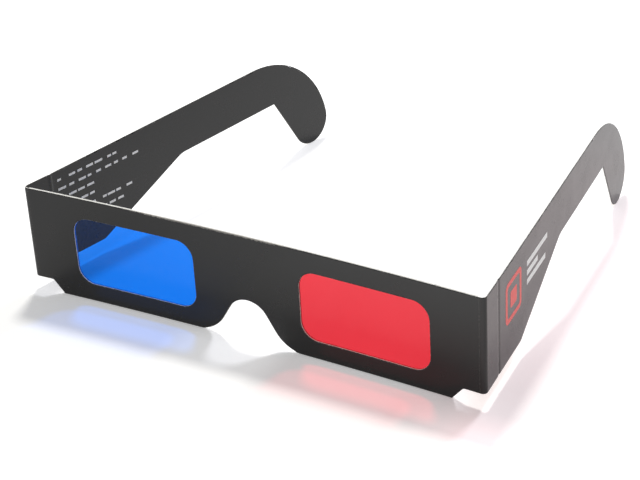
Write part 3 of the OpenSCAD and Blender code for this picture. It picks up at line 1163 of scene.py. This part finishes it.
# %% Tree for paper fibres
def fibres_tree():
    """Short bent fibres at random along a path."""
    tree, given, output = new_tree("paper_fibres", [
        ("Spacing", "Float", 0.0003), ("Length", "Float", 0.0004), ("Thickness", "Float", 0.00002),
        ("Left Out", "Float", 0.5), ("Seed", "Int", 1), ("Material", "Material", None),
    ])
    seed = given["Seed"]
    path = add_node(tree, "GeometryNodeMeshToCurve", {"Mesh": given["Geometry"]})
    places = add_node(tree, "GeometryNodeCurveToPoints", {
        "Curve": path.outputs[0], "Length": given["Spacing"],
    }, mode="LENGTH")
    stand = add_node(tree, "GeometryNodeCurveArc", {
        "Resolution": 4, "Radius": given["Length"], "Sweep Angle": 1.0,
    })
    hair = add_node(tree, "GeometryNodeCurvePrimitiveCircle", {
        "Resolution": 3, "Radius": given["Thickness"],
    })
    fibre = add_node(tree, "GeometryNodeCurveToMesh", {
        "Curve": stand.outputs["Curve"], "Profile Curve": hair.outputs["Curve"], "Fill Caps": True,
    })
    rooted = add_node(tree, "GeometryNodeTransform", {
        "Geometry": fibre.outputs[0],
        "Translation": vector(tree, calculate(tree, "MULTIPLY", given["Length"], -1.0)),
    })
    turn = add_node(tree, "FunctionNodeRandomValue", {
        0: (0.3, -1.2, -3.1), 1: (2.8, 1.2, 3.1), "Seed": seed,
    }, data_type="FLOAT_VECTOR")
    skip = add_node(tree, "FunctionNodeRandomValue", {
        "Probability": given["Left Out"], "Seed": seed,
    }, data_type="BOOLEAN")
    keep = add_node(tree, "FunctionNodeBooleanMath", {0: skip.outputs[3]}, operation="NOT")
    fur = add_node(tree, "GeometryNodeInstanceOnPoints", {
        "Points": places.outputs["Points"], "Selection": keep.outputs[0], "Instance": rooted.outputs[0],
        "Rotation": turn.outputs[0], "Scale": random_number(tree, 0.3, 1.0, seed),
    })
    return finish_tree(tree, fur.outputs[0], given["Material"], output)


FIBRES = fibres_tree()

# %% Paper fibres
PATH_POINTS = 60
FIBRE_ROOT = 0.02
ways = np.linspace(-BACK_END, BACK_END, PATH_POINTS)
top = np.full(PATH_POINTS, FRONT_H - FIBRE_ROOT)
middle = np.full(PATH_POINTS, CARD / 2)
edge_paths = np.concatenate([place(ways, top, middle) for place in (front_at, back_at)]) * MM
path_links = [(i, i + 1) for i in range(2 * PATH_POINTS - 1) if i != PATH_POINTS - 1]
path_mesh = bpy.data.meshes.new("top_edge_paths")
path_mesh.from_pydata(edge_paths.tolist(), path_links, [])
fur_mesh = grown_mesh(FIBRES, "top_edge_fibres", {
    "Spacing": 0.35 * MM, "Length": 0.32 * MM, "Thickness": 0.014 * MM, "Left Out": 0.45, "Seed": 5,
    "Material": CORE,
}, path_mesh)
fur_mesh.name = "top_edge_fibres"
top_edge_fibres = put_in_scene("top_edge_fibres", fur_mesh)
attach(top_edge_fibres, "front")
print("fibres:", len(fur_mesh.polygons), "faces")

# %% [markdown]
# ## Table and light
# The glasses stand on a white table. Two soft lamps behind them throw the shadows and the coloured
# patches towards the camera: a high one at the wearer's right, and a lower one at the left that also
# throws the paler patch beside the main shadow. The white room fills the rest, so the shadows stay pale.
# The table is white paint. For the rays that the eye follows it also gets a lift towards white, which
# grows with distance, so the background is white while the lamps stay at a plain level. Light is also
# painted onto the table in places: a bright patch before the front, which the front mirrors as a painted
# sheen on its upper part, and painted light that lightens the shadows past the front's left end, under the
# nose, behind the front at the wearer's right and beside the left temple. Beside the left temple, on the
# red film's side, the painted light is rosy.

# %% Table
TABLE_HALF = 2.0
LIFT = 0.28


def seen_rays(tree):
    """1 for the rays that the eye follows, straight, mirrored or through a film, and 0 for the rest."""
    path = add_node(tree, "ShaderNodeLightPath").outputs
    kinds = (path[kind] for kind in ("Is Camera Ray", "Is Glossy Ray", "Is Transmission Ray"))
    return calculate(tree, "MAXIMUM", *kinds)


def white_table():
    """Matt white paint with a faint texture, lifted towards white for the eye, with light painted on in
    places.
    """
    material, tree, place = new_material("white_table")
    mottle = noise(tree, place, 40.0, 2.0, 0.5)
    colour = blend_colours(tree, mottle, (0.955, 0.955, 0.955, 1), (0.965, 0.965, 0.965, 1))
    paint = add_node(tree, "ShaderNodeBsdfDiffuse", {"Color": colour})

    spot = add_node(tree, "ShaderNodeSeparateXYZ", {0: place}).outputs
    away = add_node(tree, "ShaderNodeVectorMath", {0: place}, operation="LENGTH").outputs["Value"]
    # Painted light: lightens the shadows on the table behind the front at the wearer's right, less further
    # back.
    behind = remap(tree, spot["Y"], -0.055, -0.01, 0.0, 0.12)
    behind = calculate(tree, "SUBTRACT", behind, remap(tree, spot["Y"], 0.015, 0.045, 0.0, 0.07))
    painted_light_behind_right = calculate(tree, "MULTIPLY", behind, remap(tree, spot["X"], -0.03, 0.01, 1.0, 0.0))
    distance = remap(tree, away, 0.12, 0.5, 0.0, 0.5)
    # Painted bright patch before the front, towards the wearer's left, which the front mirrors as a painted
    # sheen.
    before = remap(tree, spot["Y"], -0.1, -0.078, 0.7, 0.0)
    painted_sheen_patch = calculate(tree, "MULTIPLY", before, remap(tree, spot["X"], -0.06, 0.03, 0.0, 1.0))
    # Painted rosy light in the shadow beside the left temple, near the glasses.
    beside = remap(tree, spot["X"], 0.045, 0.07, 0.0, 1.0)
    rosy_painted_light = calculate(tree, "MULTIPLY", beside, remap(tree, away, 0.1, 0.15, 1.0, 0.0))
    # Painted light: lightens the left temple's shadow towards the back.
    painted_light_left_shadow = calculate(tree, "MULTIPLY", remap(tree, spot["Y"], -0.05, -0.02, 0.0, 0.1), rosy_painted_light)
    # Painted light: lightens the shadow past the front's left end, more further from the front.
    past_end = remap(tree, spot["Y"], -0.072, -0.061, 1.0, 0.0)
    left_end = calculate(tree, "MULTIPLY", past_end, remap(tree, spot["X"], 0.05, 0.068, 0.0, 0.28))
    # Painted light: lightens the shadow under the nose.
    past_nose = remap(tree, spot["Y"], -0.064, -0.058, 1.0, 0.0)
    off_nose = calculate(tree, "ABSOLUTE", calculate(tree, "ADD", spot["X"], 0.004), 0.0)
    nose = calculate(tree, "MULTIPLY", past_nose, remap(tree, off_nose, 0.011, 0.019, 0.1, 0.0))
    glow = calculate(tree, "ADD", painted_light_behind_right, LIFT, distance, painted_sheen_patch, painted_light_left_shadow, left_end, nose)
    glow = calculate(tree, "MINIMUM", glow, 1.0)

    lift = add_node(tree, "ShaderNodeEmission", {
        "Color": blend_colours(tree, rosy_painted_light, (1, 1, 1, 1), (1, 0.7, 0.72, 1)),
        "Strength": calculate(tree, "MULTIPLY", seen_rays(tree), glow),
    })
    both = add_node(tree, "ShaderNodeAddShader", {0: paint.outputs[0], 1: lift.outputs[0]})
    add_node(tree, "ShaderNodeOutputMaterial", {"Surface": both.outputs[0]})
    return material


table_mesh = bpy.data.meshes.new("table")
corners = [(x * TABLE_HALF, y * TABLE_HALF, 0.0) for x, y in ((-1, -1), (1, -1), (1, 1), (-1, 1))]
table_mesh.from_pydata(corners, [], [(0, 1, 2, 3)])
table_mesh.materials.append(white_table())
table = put_in_scene("table", table_mesh)
print("table", 2 * TABLE_HALF, "m wide")

# %% Lamps and room
LIT_SPOT = Vector((0.0, -0.06, 0.0))
LAMP_SIZE = 0.14
LAMPS = {
    "high_lamp": {"place": (-0.187, 0.347, 0.819), "watts": 4.3, "colour": (1.0, 0.98, 0.93)},
    "low_lamp": {"place": (0.105, 0.536, 0.523), "watts": 2.4, "colour": (0.92, 0.93, 1.0)},
}
ROOM_FILL = 0.36

for name, lamp in LAMPS.items():
    lamp_data = bpy.data.lights.new(name, "AREA")
    lamp_data.shape = "DISK"
    lamp_data.size = LAMP_SIZE
    lamp_data.energy = lamp["watts"]
    lamp_data.color = lamp["colour"]
    lamp_object = put_in_scene(name, lamp_data)
    lamp_object.location = lamp["place"]
    away = Vector(lamp["place"]) - LIT_SPOT
    lamp_object.rotation_euler = away.to_track_quat("Z", "Y").to_euler()
    print(name, round(away.length, 3), "m from the glasses")

room = bpy.data.worlds.new("white_room")
scene.world = room
room.use_nodes = True
sky = room.node_tree
sky.nodes.clear()
strength = remap(sky, seen_rays(sky), 0.0, 1.0, ROOM_FILL, 1.0)
white = add_node(sky, "ShaderNodeBackground", {"Color": (1, 1, 1, 1), "Strength": strength})
add_node(sky, "ShaderNodeOutputWorld", {"Surface": white.outputs[0]})
print("room lit at", ROOM_FILL)
